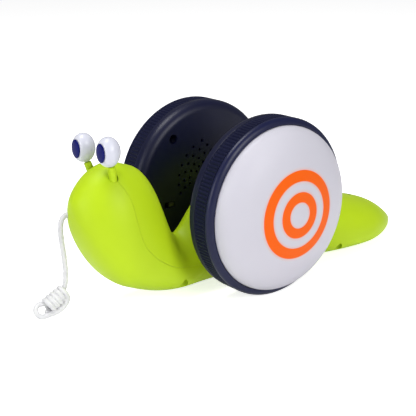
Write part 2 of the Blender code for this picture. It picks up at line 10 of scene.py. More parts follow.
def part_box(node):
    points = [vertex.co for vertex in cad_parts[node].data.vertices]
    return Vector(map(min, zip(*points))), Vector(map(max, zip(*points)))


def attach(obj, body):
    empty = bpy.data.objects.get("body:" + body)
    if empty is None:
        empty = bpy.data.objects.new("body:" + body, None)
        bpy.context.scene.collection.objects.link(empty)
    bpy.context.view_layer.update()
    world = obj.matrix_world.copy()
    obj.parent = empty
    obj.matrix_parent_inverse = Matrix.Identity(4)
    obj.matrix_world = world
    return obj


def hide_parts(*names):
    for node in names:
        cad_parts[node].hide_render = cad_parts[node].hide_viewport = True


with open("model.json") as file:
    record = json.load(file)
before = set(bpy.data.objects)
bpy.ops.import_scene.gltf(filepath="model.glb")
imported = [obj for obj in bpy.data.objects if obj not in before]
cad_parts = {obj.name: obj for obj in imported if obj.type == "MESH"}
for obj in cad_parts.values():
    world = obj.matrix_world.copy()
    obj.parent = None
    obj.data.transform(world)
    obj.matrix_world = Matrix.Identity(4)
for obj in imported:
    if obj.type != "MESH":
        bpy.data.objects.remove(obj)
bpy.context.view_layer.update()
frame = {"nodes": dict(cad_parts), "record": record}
print("frame loaded:", len(frame["nodes"]), "nodes")

mm = 0.001


def middleOf(node):
    low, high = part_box(node)
    return (low + high) / 2


hub = middleOf("axle")
sides = (("left", -1), ("right", 1))


# Millimetres ahead of or behind the axle, to the side, and above the floor
def place(x, y, z):
    return Vector((hub.x + x * mm, y * mm, z * mm))


view = {"azimuth": -39.12, "elevation": 17.96, "roll": -0.36, "distance": 0.7141, "lens": 77.42,
        "sensor": 36, "near": 0.01, "target": place(-23.5, 0, 61.1)}
az = math.radians(view["azimuth"])
el = math.radians(view["elevation"])
back = Vector((math.sin(az) * math.cos(el), -math.cos(az) * math.cos(el), math.sin(el)))
cameraData = bpy.data.cameras.new("camera")
cameraData.lens = view["lens"]
cameraData.sensor_width = view["sensor"]
cameraData.clip_start = view["near"]
camera = bpy.data.objects.new("camera", cameraData)
bpy.context.scene.collection.objects.link(camera)
camera.location = view["target"] + back * view["distance"]
camera.rotation_mode = "QUATERNION"
camera.rotation_quaternion = back.to_track_quat("Z", "Y") @ Matrix.Rotation(
    math.radians(view["roll"]), 3, "Z").to_quaternion()
bpy.context.scene.camera = camera
bpy.context.scene.view_settings.view_transform = "Standard"  # whites stay white and the orange stays clear
print("camera set")

sharpEdge = 35  # degrees past which an edge shows sharp


# A piece whose points are in metres, measured from at
def meshPiece(name, verts, faces, at=(0, 0, 0), sharp=sharpEdge):
    mesh = bpy.data.meshes.new(name)
    mesh.from_pydata([tuple(v) for v in verts], [], [tuple(f) for f in faces])
    mesh.validate()
    obj = bpy.data.objects.new(name, mesh)
    bpy.context.scene.collection.objects.link(obj)
    obj.location = at
    bm = bmesh.new()
    bm.from_mesh(mesh)
    if bm.calc_volume(signed=True) < 0:
        bmesh.ops.reverse_faces(bm, faces=bm.faces)
    bm.to_mesh(mesh)
    bm.free()
    smoothen(obj, sharp)
    return obj


def smoothen(obj, sharp=sharpEdge):
    obj.data.shade_smooth()
    obj.data.set_sharp_from_angle(angle=math.radians(sharp))


def loftFaces(loops, ring, closed):
    faces = []
    for a in range(loops - 1 if not closed else loops):
        b = (a + 1) % loops
        for k in range(ring):
            n = (k + 1) % ring
            faces.append((a * ring + k, a * ring + n, b * ring + n, b * ring + k))
    return faces


# Turns (u, v, w) of a wheel, with w out from the toy's middle, into the row frame's axes
def outward(side):
    if side == "left":
        return lambda u, v, w: (u * mm, -w * mm, v * mm)
    return lambda u, v, w: (-u * mm, w * mm, v * mm)


# A turned ring or disc from a closed (radius, height) outline; radius 0 points become one point
def turned(name, profile, segs, toRow, at, sharp=sharpEdge):
    verts = []
    faces = []
    rows = []
    for r, w in profile:
        if r < 1e-6:
            rows.append([len(verts)])
            verts.append(toRow(0, 0, w))
        else:
            rows.append(list(range(len(verts), len(verts) + segs)))
            verts += [toRow(r * math.cos(2 * math.pi * k / segs), r * math.sin(2 * math.pi * k / segs), w)
                      for k in range(segs)]
    pairs = list(zip(rows, rows[1:]))
    if len(rows[0]) > 1:
        pairs.append((rows[-1], rows[0]))
    for a, b in pairs:
        for k in range(segs):
            n = (k + 1) % segs
            if len(a) == 1 and len(b) > 1:
                faces.append((a[0], b[n], b[k]))
            elif len(b) == 1 and len(a) > 1:
                faces.append((a[k], a[n], b[0]))
            elif len(a) > 1:
                faces.append((a[k], a[n], b[n], b[k]))
    return meshPiece(name, verts, faces, at, sharp)


# A plain round bar in metres, used for cutting and as a base for other shapes
def rodBetween(name, start, end, radius, segs=32, endRadius=None):
    start = Vector(start)
    end = Vector(end)
    turn = Vector((0, 0, 1)).rotation_difference(end - start)
    verts = []
    for centre, r in ((start, radius), (end, radius if endRadius is None else endRadius)):
        for k in range(segs):
            angle = 2 * math.pi * k / segs
            verts.append(centre + turn @ Vector((r * math.cos(angle), r * math.sin(angle), 0)))
    faces = loftFaces(2, segs, False) + [tuple(reversed(range(segs))), tuple(range(segs, 2 * segs))]
    return meshPiece(name, verts, faces)


# A block with rounded edges between two corners in millimetres
def roundedBlock(name, low, high, radius, toRow, at, steps=3):
    bm = bmesh.new()
    bmesh.ops.create_cube(bm, size=1.0)
    for v in bm.verts:
        v.co = Vector([(a + b) / 2 + c * (b - a) for a, b, c in zip(low, high, v.co)])
    bmesh.ops.bevel(bm, geom=list(bm.edges), offset=radius, segments=steps, profile=0.5, affect="EDGES")
    verts = [toRow(*v.co) for v in bm.verts]
    faces = [[v.index for v in f.verts] for f in bm.faces]
    bm.free()
    return meshPiece(name, verts, faces, at, 50)


# Cuts the tool out of obj, or joins or intersects them, at once; the tool is used up
def combine(obj, tool, how):
    mod = obj.modifiers.new("combine", "BOOLEAN")
    mod.operation = how
    mod.solver = "MANIFOLD"
    mod.object = tool
    graph = bpy.context.evaluated_depsgraph_get()
    made = bpy.data.meshes.new_from_object(obj.evaluated_get(graph))
    obj.modifiers.clear()
    obj.data = made
    bpy.data.objects.remove(tool, do_unlink=True)
    return obj


def cutAll(obj, *tools):
    for tool in tools:
        combine(obj, tool, "DIFFERENCE")
    smoothen(obj)
    return obj


# What the shared effects have in common
effect = {"broadRange": (0.3, 0.7), "corner": (0.53, 0.62), "worn": (0.42, 0.68), "upward": (0.2, 1.0),
          "flecks": (0.45, 0.75), "dustColour": (0.62, 0.60, 0.58), "dustScale": 90.0, "wornRough": 0.2,
          "coatRough": 0.1}


def newGroup(name, inputs, outputs):
    tree = bpy.data.node_groups.new(name, "ShaderNodeTree")
    for label, kind, value in inputs:
        socket = tree.interface.new_socket(label, in_out="INPUT", socket_type=kind)
        if value is not None:
            socket.default_value = value
    for label, kind in outputs:
        tree.interface.new_socket(label, in_out="OUTPUT", socket_type=kind)
    return tree, tree.nodes.new("NodeGroupInput"), tree.nodes.new("NodeGroupOutput")


def addNode(tree, kind, values=None, **settings):
    node = tree.nodes.new(kind)
    for key, value in settings.items():
        setattr(node, key, value)
    for key, value in (values or {}).items():
        if isinstance(value, bpy.types.NodeSocket):
            tree.links.new(value, node.inputs[key])
        else:
            node.inputs[key].default_value = value
    return node


def sums(tree, operation, a, b, clamp=False):
    return addNode(tree, "ShaderNodeMath", {0: a, 1: b}, operation=operation, use_clamp=clamp).outputs[0]


def spread(tree, value, low, high, toLow=0.0, toHigh=1.0, smooth=False):
    values = {"Value": value, "From Min": low, "From Max": high, "To Min": toLow, "To Max": toHigh}
    kind = "SMOOTHSTEP" if smooth else "LINEAR"
    return addNode(tree, "ShaderNodeMapRange", values, interpolation_type=kind).outputs["Result"]


def blendColours(tree, share, a, b):
    node = tree.nodes.new("ShaderNodeMix")
    node.data_type = "RGBA"
    for key, value in (("Factor", share), ("A", a), ("B", b)):
        socket = [s for s in node.inputs if s.name == key and s.enabled][0]
        if isinstance(value, bpy.types.NodeSocket):
            tree.links.new(value, socket)
        else:
            socket.default_value = value if key == "Factor" else (*value, 1.0)
    return [s for s in node.outputs if s.enabled][0]


vectorIn = ("Vector", "NodeSocketVector", None)

# Fine moulded texture, with a broad slow variation beside it
grainGroup, gin, gout = newGroup("mouldedGrain", [
    vectorIn, ("Fine", "NodeSocketFloat", 1500.0), ("Broad", "NodeSocketFloat", 40.0)],
    [("Height", "NodeSocketFloat"), ("Mask", "NodeSocketFloat")])
fine = addNode(grainGroup, "ShaderNodeTexNoise", {"Vector": gin.outputs["Vector"], "Scale": gin.outputs["Fine"],
                                                  "Detail": 2.0, "Roughness": 0.6})
broad = addNode(grainGroup, "ShaderNodeTexNoise", {"Vector": gin.outputs["Vector"], "Scale": gin.outputs["Broad"],
                                                   "Detail": 4.0, "Roughness": 0.55})
grainGroup.links.new(fine.outputs["Fac"], gout.inputs["Height"])
grainGroup.links.new(spread(grainGroup, broad.outputs["Fac"], *effect["broadRange"], smooth=True), gout.inputs["Mask"])

# Rubbed edges: convex corners, broken up by noise
wearGroup, gin, gout = newGroup("rubbedEdges", [
    vectorIn, ("Amount", "NodeSocketFloat", 0.3), ("Scale", "NodeSocketFloat", 300.0)],
    [("Mask", "NodeSocketFloat")])
geometry = addNode(wearGroup, "ShaderNodeNewGeometry")
corner = spread(wearGroup, geometry.outputs["Pointiness"], *effect["corner"])
breakup = addNode(wearGroup, "ShaderNodeTexNoise", {"Vector": gin.outputs["Vector"], "Scale": gin.outputs["Scale"],
                                                    "Detail": 5.0, "Roughness": 0.7})
broken = spread(wearGroup, breakup.outputs["Fac"], *effect["worn"])
wearMask = sums(wearGroup, "MULTIPLY", sums(wearGroup, "MULTIPLY", corner, broken), gin.outputs["Amount"], True)
wearGroup.links.new(wearMask, gout.inputs["Mask"])

# Dust that settles on what faces up
dustGroup, gin, gout = newGroup("settledDust", [
    vectorIn, ("Amount", "NodeSocketFloat", 0.1), ("Scale", "NodeSocketFloat", 90.0)],
    [("Mask", "NodeSocketFloat")])
geometry = addNode(dustGroup, "ShaderNodeNewGeometry")
parts = addNode(dustGroup, "ShaderNodeSeparateXYZ", {"Vector": geometry.outputs["Normal"]})
facing = spread(dustGroup, parts.outputs["Z"], *effect["upward"], smooth=True)
flecks = addNode(dustGroup, "ShaderNodeTexNoise", {"Vector": gin.outputs["Vector"], "Scale": gin.outputs["Scale"],
                                                   "Detail": 6.0, "Roughness": 0.75})
lying = sums(dustGroup, "MULTIPLY", facing, spread(dustGroup, flecks.outputs["Fac"], *effect["flecks"]))
dustGroup.links.new(sums(dustGroup, "MULTIPLY", lying, gin.outputs["Amount"], True), gout.inputs["Mask"])

# A ring mask about the piece's own Y axis, with soft edges, for the printed rings and their painted glow
ringGroup, gin, gout = newGroup("ringMaskForPrintAndGlow", [
    vectorIn, ("Inner", "NodeSocketFloat", 0.01), ("Outer", "NodeSocketFloat", 0.02),
    ("Blur", "NodeSocketFloat", 0.0005)], [("Mask", "NodeSocketFloat")])
flat = addNode(ringGroup, "ShaderNodeVectorMath", {0: gin.outputs["Vector"], 1: (1, 0, 1)}, operation="MULTIPLY")
reach = addNode(ringGroup, "ShaderNodeVectorMath", {0: flat.outputs[0]}, operation="LENGTH").outputs["Value"]
innerLow = sums(ringGroup, "SUBTRACT", gin.outputs["Inner"], gin.outputs["Blur"])
innerHigh = sums(ringGroup, "ADD", gin.outputs["Inner"], gin.outputs["Blur"])
outerLow = sums(ringGroup, "SUBTRACT", gin.outputs["Outer"], gin.outputs["Blur"])
outerHigh = sums(ringGroup, "ADD", gin.outputs["Outer"], gin.outputs["Blur"])
rise = spread(ringGroup, reach, innerLow, innerHigh, smooth=True)
fall = spread(ringGroup, reach, outerLow, outerHigh, 1.0, 0.0, smooth=True)
ringGroup.links.new(sums(ringGroup, "MULTIPLY", rise, fall), gout.inputs["Mask"])
print("node groups made:", len(bpy.data.node_groups))


def blankMaterial(name):
    mat = bpy.data.materials.new(name)
    mat.use_nodes = True
    tree = mat.node_tree
    shader = tree.nodes["Principled BSDF"]
    coords = addNode(tree, "ShaderNodeTexCoord").outputs["Object"]
    return mat, tree, shader, coords


def useGroup(tree, group, **values):
    return addNode(tree, "ShaderNodeGroup", values, node_tree=group)


# A moulded, turned or plated surface from its look. paint may add to the colour before wear and dust
def surface(name, look, paint=None):
    mat, tree, shader, coords = blankMaterial(name)
    grain = useGroup(tree, grainGroup, Vector=coords, Fine=look.get("fine", 1500.0), Broad=look.get("broad", 40.0))
    wear = useGroup(tree, wearGroup, Vector=coords, Amount=look.get("wear", 0.15), Scale=look.get("wearScale", 400.0))
    dust = useGroup(tree, dustGroup, Vector=coords, Amount=look.get("dust", 0.04), Scale=effect["dustScale"])
    colour = blendColours(tree, grain.outputs["Mask"], look["colour"], look["second"])
    if paint:
        colour = paint(tree, coords, colour)
    colour = blendColours(tree, wear.outputs["Mask"], colour, look.get("wearColour", look["second"]))
    colour = blendColours(tree, dust.outputs["Mask"], colour, effect["dustColour"])
    tree.links.new(colour, shader.inputs["Base Color"])
    low, high = look["rough"]
    rough = spread(tree, grain.outputs["Mask"], 0.0, 1.0, low, high)
    rough = sums(tree, "ADD", rough, sums(tree, "MULTIPLY", wear.outputs["Mask"], effect["wornRough"]), True)
    tree.links.new(rough, shader.inputs["Roughness"])
    bump = addNode(tree, "ShaderNodeBump", {"Height": grain.outputs["Height"], "Strength": look.get("bump", 0.1),
                                            "Distance": look.get("bumpSize", 0.00005)})
    tree.links.new(bump.outputs["Normal"], shader.inputs["Normal"])
    shader.inputs["Metallic"].default_value = look.get("metal", 0.0)
    shader.inputs["Specular IOR Level"].default_value = look.get("specular", 0.5)
    shader.inputs["Coat Weight"].default_value = look.get("coat", 0.0)
    shader.inputs["Coat Roughness"].default_value = effect["coatRough"]
    shader.inputs["Subsurface Weight"].default_value = look.get("glow", 0.0)
    shader.inputs["Subsurface Scale"].default_value = look.get("glowDepth", 0.002)
    shader.inputs["Subsurface Radius"].default_value = look.get("glowColour", (1.0, 1.0, 1.0))
    return mat


# Gives a piece its material and its body and hides the CAD nodes that it stands for; its slot name is not used
def dress(obj, mat, body, slotName, *nodes):
    obj.data.materials.clear()
    obj.data.materials.append(mat)
    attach(obj, body)
    if nodes:
        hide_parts(*nodes)
    return obj


# The pull cord, its wrapped hank and its end knot
cordLook = {"radius": 1.95, "step": 0.42, "easing": 30, "floorGap": 0.1, "around": 20, "strands": 8, "twist": 5.2,
            "relief": 0.16, "reliefMiddle": 0.6, "colour": (0.70, 0.70, 0.715), "second": (0.62, 0.62, 0.645),
            "patchRange": (0.35, 0.7), "patchScale": 130.0, "fibreScale": 2600.0, "dust": 0.05, "dustScale": 200.0,
            "dustColour": (0.6, 0.58, 0.56), "bump": 0.45, "bumpSize": 0.0002, "rough": 0.9, "sheen": 0.35,
            "sheenRough": 0.4, "specular": 0.2}
knotLook = {"radius": 2.9, "rounds": 5, "slant": 4, "relief": 0.07, "ahead": 1.2, "behind": 0.6}
cordRoute = (
    (-140.0, 6.3, 80.6), (-143.8, 8.0, 80.2), (-147.2, 9.5, 79.4), (-149.9, 10.7, 76.6), (-150.9, 11.4, 71.5),
    (-150.8, 12.0, 64.6), (-150.0, 12.6, 57.5), (-149.0, 13.1, 50.2), (-148.0, 13.6, 42.6),
    (-147.6, 14.0, 35.0), (-147.9, 14.3, 27.6), (-148.7, 14.6, 22.6),
)
cordExit = 2  # the route point at the mouth of the face
hank = {"centre": (-158.4, 16.7, 12.4), "aim": (-0.84, 0.14, -0.50), "wrapRadius": 5.15, "wrapPitch": 3.45,
        "wrapStart": -11.0, "wrapEnd": 5.2, "wrapSteps": 14, "wrapTurn": 72, "loopAt": 9.3, "loopRadius": 5.25,
        "loopSteps": 8, "loopRise": 0.3,
        "inward": ((-10.5, -1.6, 1.0), (-6.5, -0.5, 0.2), (-2.0, -0.2, 0), (2.0, -0.7, 0), (5.2, -2.6, 0)),
        "outward": ((5.6, 6.6, 0.8), (2.0, 7.9, 1.2), (-2.4, 8.2, 1.4), (-6.4, 7.4, 1.4), (-9.4, 6.0, 2.0),
                    (-11.0, 3.9, 3.3))}

along = Vector(hank["aim"]).normalized()
front = (back - along * back.dot(along)).normalized()
across = front.cross(along)


# A point of the hank: s down its length, t to its outer side, n to its front
def hankPoint(s, t, n):
    return Vector(hank["centre"]) + along * s + across * t + front * n


# In along the middle, round the loop, back along one side, then wrapped round both
def hankRoute():
    pts = [hankPoint(*p) for p in hank["inward"]]
    for k in range(hank["loopSteps"] + 1):
        angle = math.pi * k / hank["loopSteps"]
        pts.append(hankPoint(hank["loopAt"] + hank["loopRadius"] * math.sin(angle),
                             -hank["loopRadius"] * math.cos(angle), hank["loopRise"] * k / hank["loopSteps"]))
    pts += [hankPoint(*p) for p in hank["outward"]]
    turns = (hank["wrapEnd"] - hank["wrapStart"]) / hank["wrapPitch"]
    count = int(turns * hank["wrapSteps"])
    for k in range(count + 1):
        angle = math.radians(hank["wrapTurn"]) + 2 * math.pi * turns * k / count
        s = hank["wrapStart"] + hank["wrapPitch"] * turns * k / count
        pts.append(hankPoint(s, hank["wrapRadius"] * math.cos(angle), hank["wrapRadius"] * math.sin(angle)))
    return pts


# Evenly spaced points on a smooth curve through the given ones
def smoothLine(points, step, perSpan=16):
    pts = [np.array(p, float) for p in points]
    pts = [2 * pts[0] - pts[1]] + pts + [2 * pts[-1] - pts[-2]]
    dense = []
    for a, b, c, d in zip(pts, pts[1:], pts[2:], pts[3:]):
        for t in np.linspace(0, 1, perSpan, endpoint=False):
            dense.append(0.5 * (2 * b + (c - a) * t + (2 * a - 5 * b + 4 * c - d) * t * t
                                + (3 * b - a - 3 * c + d) * t ** 3))
    dense = np.array(dense + [pts[-2]])
    run = np.concatenate([[0], np.cumsum(np.linalg.norm(np.diff(dense, axis=0), axis=1))])
    want = np.linspace(0, run[-1], max(3, int(run[-1] / step)))
    return np.stack([np.interp(want, run, dense[:, k]) for k in range(3)], axis=1)


# The same line with its corners eased, ends kept
def softened(line, rounds):
    for _ in range(rounds):
        line[1:-1] = line[1:-1] * 0.5 + (line[:-2] + line[2:]) * 0.25
    return line


cordLine = softened(smoothLine(list(cordRoute) + hankRoute(), cordLook["step"]), cordLook["easing"])
cordLine[:, 2] = np.maximum(cordLine[:, 2], cordLook["radius"] + cordLook["floorGap"])


# A braided tube: two families of strands cross over and under as raised ridges
def braidedTube(name, line, look):
    tangents = np.gradient(line, axis=0)
    tangents /= np.linalg.norm(tangents, axis=1)[:, None]
    side = np.cross(tangents[0], (0, 1, 0))
    side /= np.linalg.norm(side)
    travelled = np.concatenate([[0], np.cumsum(np.linalg.norm(np.diff(line, axis=0), axis=1))])
    verts = []
    count = look["around"]
    for i, (centre, tangent) in enumerate(zip(line, tangents)):
        side = side - tangent * side.dot(tangent)
        side /= np.linalg.norm(side)
        other = np.cross(tangent, side)
        for k in range(count):
            angle = 2 * math.pi * k / count
            turn = travelled[i] / look["twist"] * 2 * math.pi
            over = math.cos(look["strands"] / 2 * angle + turn)
            under = math.cos(look["strands"] / 2 * angle - turn)
            radius = look["radius"] + look["relief"] * (max(over, under) - look["reliefMiddle"])
            verts.append(place(*(centre + radius * (side * math.cos(angle) + other * math.sin(angle)))))
    faces = loftFaces(len(line), count, False)
    faces += [tuple(reversed(range(count))), tuple(range(len(verts) - count, len(verts)))]
    return meshPiece(name, verts, faces, sharp=80)


def clothMaterial(name, look):
    mat, tree, shader, coords = blankMaterial(name)
    fibre = addNode(tree, "ShaderNodeTexNoise", {"Vector": coords, "Scale": look["fibreScale"], "Detail": 3.0,
                                                 "Roughness": 0.7})
    patch = addNode(tree, "ShaderNodeTexNoise", {"Vector": coords, "Scale": look["patchScale"], "Detail": 3.0})
    dust = useGroup(tree, dustGroup, Vector=coords, Amount=look["dust"], Scale=look["dustScale"])
    share = spread(tree, patch.outputs["Fac"], *look["patchRange"])
    colour = blendColours(tree, share, look["colour"], look["second"])
    colour = blendColours(tree, dust.outputs["Mask"], colour, look["dustColour"])
    tree.links.new(colour, shader.inputs["Base Color"])
    bump = addNode(tree, "ShaderNodeBump", {"Height": fibre.outputs["Fac"], "Strength": look["bump"],
                                            "Distance": look["bumpSize"]})
    tree.links.new(bump.outputs["Normal"], shader.inputs["Normal"])
    shader.inputs["Roughness"].default_value = look["rough"]
    shader.inputs["Sheen Weight"].default_value = look["sheen"]
    shader.inputs["Sheen Roughness"].default_value = look["sheenRough"]
    shader.inputs["Specular IOR Level"].default_value = look["specular"]
    return mat


cordMaterial = clothMaterial("cordCotton", cordLook)
pullCord = braidedTube("pullCord", cordLine, cordLook)


# A small overhand knot: a ball with crossing rounds
def endKnot(name, centre, look):
    bm = bmesh.new()
    bmesh.ops.create_icosphere(bm, subdivisions=4, radius=1.0)
    for v in bm.verts:
        n = v.co.normalized()
        swirl = max(math.cos(look["rounds"] * math.atan2(n.y, n.x) + look["slant"] * n.z),
                    math.cos(look["rounds"] * math.atan2(n.z, n.y) - look["slant"] * n.x))
        v.co = n * (look["radius"] * (1 + look["relief"] * swirl))
    verts = [v.co * mm for v in bm.verts]
    faces = [[v.index for v in f.verts] for f in bm.faces]
    bm.free()
    return meshPiece(name, verts, faces, place(*centre), 80)


knotCentre = cordLine[-1] + np.array(along) * knotLook["ahead"] - np.array(front) * knotLook["behind"]
cordEndKnot = endKnot("cordEndKnot", knotCentre, knotLook)
dress(cordEndKnot, cordMaterial, "body", "cord")
dress(pullCord, cordMaterial, "body", "cord", "pull_cord", "cord_hank")
place(*cordRoute[cordExit])


# The two body shells, parted along the seam
shellLook = {"colour": (0.455, 0.635, 0.009), "second": (0.435, 0.615, 0.008), "rough": (0.42, 0.49), "bump": 0.12,
             "specular": 0.22, "fine": 2200.0, "broad": 24.0, "wear": 0.10, "wearColour": (0.60, 0.85, 0.10),
             "dust": 0.015, "glow": 0.08, "glowDepth": 0.003, "glowColour": (0.7, 1.0, 0.15)}
form = {
    "nose": (-148.2, 85.0, -109.8), "tail": (195.5, 7.4, 132.0), "widest": 0.34, "stations": 230, "sides": 112,
    "evenShare": 0.25, "saddleAt": -60, "saddleReach": 22, "saddleEasing": 12, "saddleStrength": 0.5,
    "top": ((-150, 112), (-128, 116), (-105, 112.5), (-88, 102.5), (-80, 90.5),
            (-73.5, 72), (-68, 57.5), (-63, 48.8), (-58, 46.2), (-53, 47.8), (-47, 55), (-40, 65.5), (-25, 81),
            (0, 86.5), (40, 78), (90, 58), (136, 42), (165, 34), (200, 18.5)),
    "bottom": ((-150, 45), (-128, 28.5), (-105, 16.5), (-80, 7.5), (-50, 5), (0, 4), (95, 1.8), (200, 1.8)),
    "half": ((-150, 28.5), (-128, 29.5), (-105, 28.5), (-80, 25), (-62, 22), (-48, 21), (-30, 22), (0, 24.5),
             (40, 28), (95, 38.5), (136, 38.5), (165, 32.5), (200, 18)),
    "upper": ((-150, 2.15), (-105, 2.15), (-62, 1.6), (40, 1.6), (110, 1.8), (200, 1.9)),
    "lower": ((-150, 2.2), (-80, 2.5), (40, 2.6), (120, 3.2), (200, 2.6)),
}
seam = {"gap": 0.16, "step": 2.2, "above": 150.0, "beside": 60, "line": (
    (-122, 125), (-120, 108), (-116, 99), (-112.5, 90), (-110, 73), (-105.5, 58), (-98, 47.5),
    (-87, 38), (-70, 29), (-47, 25), (0, 24), (60, 25), (80, 28), (94, 38), (101, 52), (104, 70),
    (105, 110),
)}


# Cubic curve through (x, value) knots, the same as the solid's
def knotCurve(x, knots):
    xs = [k[0] for k in knots]
    ys = [k[1] for k in knots]
    slopes = [(ys[i + 1] - ys[i]) / (xs[i + 1] - xs[i]) for i in range(len(xs) - 1)]
    tangents = [slopes[0]]
    for i in range(1, len(slopes)):
        before = xs[i] - xs[i - 1]
        after = xs[i + 1] - xs[i]
        tangents.append((slopes[i - 1] * after + slopes[i] * before) / (before + after))
    tangents.append(slopes[-1])
    x = min(max(x, xs[0]), xs[-1])
    i = min(max(j for j in range(len(xs)) if xs[j] <= x), len(xs) - 2)
    span = xs[i + 1] - xs[i]
    t = (x - xs[i]) / span
    return ((1 + 2 * t) * (1 - t) ** 2 * ys[i] + t * (1 - t) ** 2 * span * tangents[i]
            + t * t * (3 - 2 * t) * ys[i + 1] + t * t * (t - 1) * span * tangents[i + 1])


def bodyRing(x, count):
    top = knotCurve(x, form["top"])
    bottom = knotCurve(x, form["bottom"])
    half = knotCurve(x, form["half"])
    centre = (top + bottom) / 2
    size = 1.0
    for tip, height, start in (form["nose"], form["tail"]):
        share = (x - start) / (tip - start)
        if share > 0:
            size = math.sqrt(max(0.0, 1 - share ** 2))
            centre = height + (centre - height) * (1 - share ** 2)
    low = centre + (bottom - centre) * size
    high = centre + (top - centre) * size
    widest = low + (high - low) * form["widest"]
    upper = knotCurve(x, form["upper"])
    lower = knotCurve(x, form["lower"])
    ring = []
    for k in range(count):
        c = math.cos(2 * math.pi * k / count)
        s = math.sin(2 * math.pi * k / count)
        power = upper if s >= 0 else lower
        rise = high - widest if s >= 0 else widest - low
        ring.append(place(x, half * size * math.copysign(abs(c) ** (2 / power), c),
                          widest + rise * math.copysign(abs(s) ** (2 / power), s)))
    return ring


def bodySolid(name):
    count = form["sides"]
    nose = form["nose"]
    tail = form["tail"]
    loops = form["stations"]
    rings = []
    stations = []
    for k in range(1, loops):
        even = k / loops
        eased = (1 - math.cos(math.pi * even)) / 2
        share = form["evenShare"] * even + (1 - form["evenShare"]) * eased
        stations.append(nose[0] + (tail[0] - nose[0]) * share)
        rings.append([tuple(v) for v in bodyRing(stations[-1], count)])
    rings = np.array(rings)
    nearSaddle = (np.array(stations[1:-1]) - form["saddleAt"]) / form["saddleReach"]
    easing = np.exp(-nearSaddle ** 4)[:, None, None] * form["saddleStrength"]
    for _ in range(form["saddleEasing"]):
        rings[1:-1] += easing * ((rings[2:] + rings[:-2]) / 2 - rings[1:-1])
    verts = [Vector(v) for v in rings.reshape(-1, 3)]
    faces = loftFaces(loops - 1, count, False)
    first = len(verts)
    verts += [place(nose[0], 0, nose[1]), place(tail[0], 0, tail[1])]
    last = (loops - 2) * count
    for k in range(count):
        n = (k + 1) % count
        faces.append((first, n, k))
        faces.append((first + 1, last + k, last + n))
    return meshPiece(name, verts, faces)


# Everything above the seam line, from side to side
def aboveSeam(name, shift):
    line = smoothLine([(x, z, 0) for x, z in seam["line"]], seam["step"])[:, :2]
    slope = np.gradient(line, axis=0)
    slope /= np.linalg.norm(slope, axis=1)[:, None]
    moved = line + shift * np.stack([-slope[:, 1], slope[:, 0]], axis=1)
    outline = [(float(x), float(z)) for x, z in moved]
    outline += [(seam["line"][-1][0], seam["above"]), (seam["line"][0][0], seam["above"])]
    count = len(outline)
    verts = [place(x, y, z) for y in (-seam["beside"], seam["beside"]) for x, z in outline]
    faces = loftFaces(2, count, False) + [tuple(reversed(range(count))), tuple(range(count, 2 * count))]
    return meshPiece(name, verts, faces)


def plain(u, v, w):
    return (u * mm, v * mm, w * mm)


# A round cutter between two points in millimetres
def boreBetween(start, end, radius, segs):
    return rodBetween("bore", place(*start), place(*end), radius * mm, segs)


lowerShell = bodySolid("lowerShell")
backCover = lowerShell.copy()
backCover.data = lowerShell.data.copy()
backCover.name = "backCover"
bpy.context.scene.collection.objects.link(backCover)
holes = {"bellyScrew": (-64.0, 17.8), "tailScrew": (93.0, 33.6), "radius": 4.2, "below": -5, "seat": 19.0,
         "tailTop": 140.0, "topSeat": 32.5, "topAbove": 60, "cord": 2.45, "cordReach": (8, 16),
         "axleHeight": 70, "axle": 5.6, "axleReach": 40, "boss": 8.5, "bossReach": 27.4,
         "roller": ((-11, -6.4, -20), (11, 6.4, 10)), "sole": ((-32, -40, -20), (64, 40, 4.8)),
         "pinX": (-123.8, -114.2), "pinHalf": 3.9, "pinZ": (92.4, 101.3),
         "stalk": 3.15, "stalkReach": (2, 22), "swing": 4.0, "swingSteps": 3}
high = holes["axleHeight"]
axleBoss = rodBetween("axleBoss", place(0, -holes["bossReach"], high), place(0, holes["bossReach"], high),
                      holes["boss"] * mm, 96)
combine(backCover, axleBoss, "UNION")
combine(lowerShell, aboveSeam("cutLower", -seam["gap"] / 2), "DIFFERENCE")
combine(backCover, aboveSeam("cutCover", seam["gap"] / 2), "INTERSECT")

tools = []
for side, sign in sides:
    for x, y in (holes["bellyScrew"], holes["tailScrew"]):
        tools.append(boreBetween((x, sign * y, holes["below"]), (x, sign * y, holes["seat"]), holes["radius"], 48))
tools.append(boreBetween((holes["tailTop"], 0, holes["topSeat"]), (holes["tailTop"], 0, holes["topAbove"]),
                         holes["radius"], 48))
mouth = Vector(cordRoute[0])
aim = (Vector(cordRoute[cordExit]) - mouth).normalized()
tools.append(boreBetween(mouth - aim * holes["cordReach"][0], mouth + aim * holes["cordReach"][1], holes["cord"], 32))
rollerAt = middleOf("tail_roller")
tools.append(roundedBlock("bore", *holes["roller"], 0.8, plain, rollerAt))
tools.append(roundedBlock("bore", *holes["sole"], 0.3, plain, place(0, 0, 0)))
cutAll(lowerShell, *tools)
cutAll(backCover, boreBetween((0, -holes["axleReach"], high), (0, holes["axleReach"], high), holes["axle"], 64))

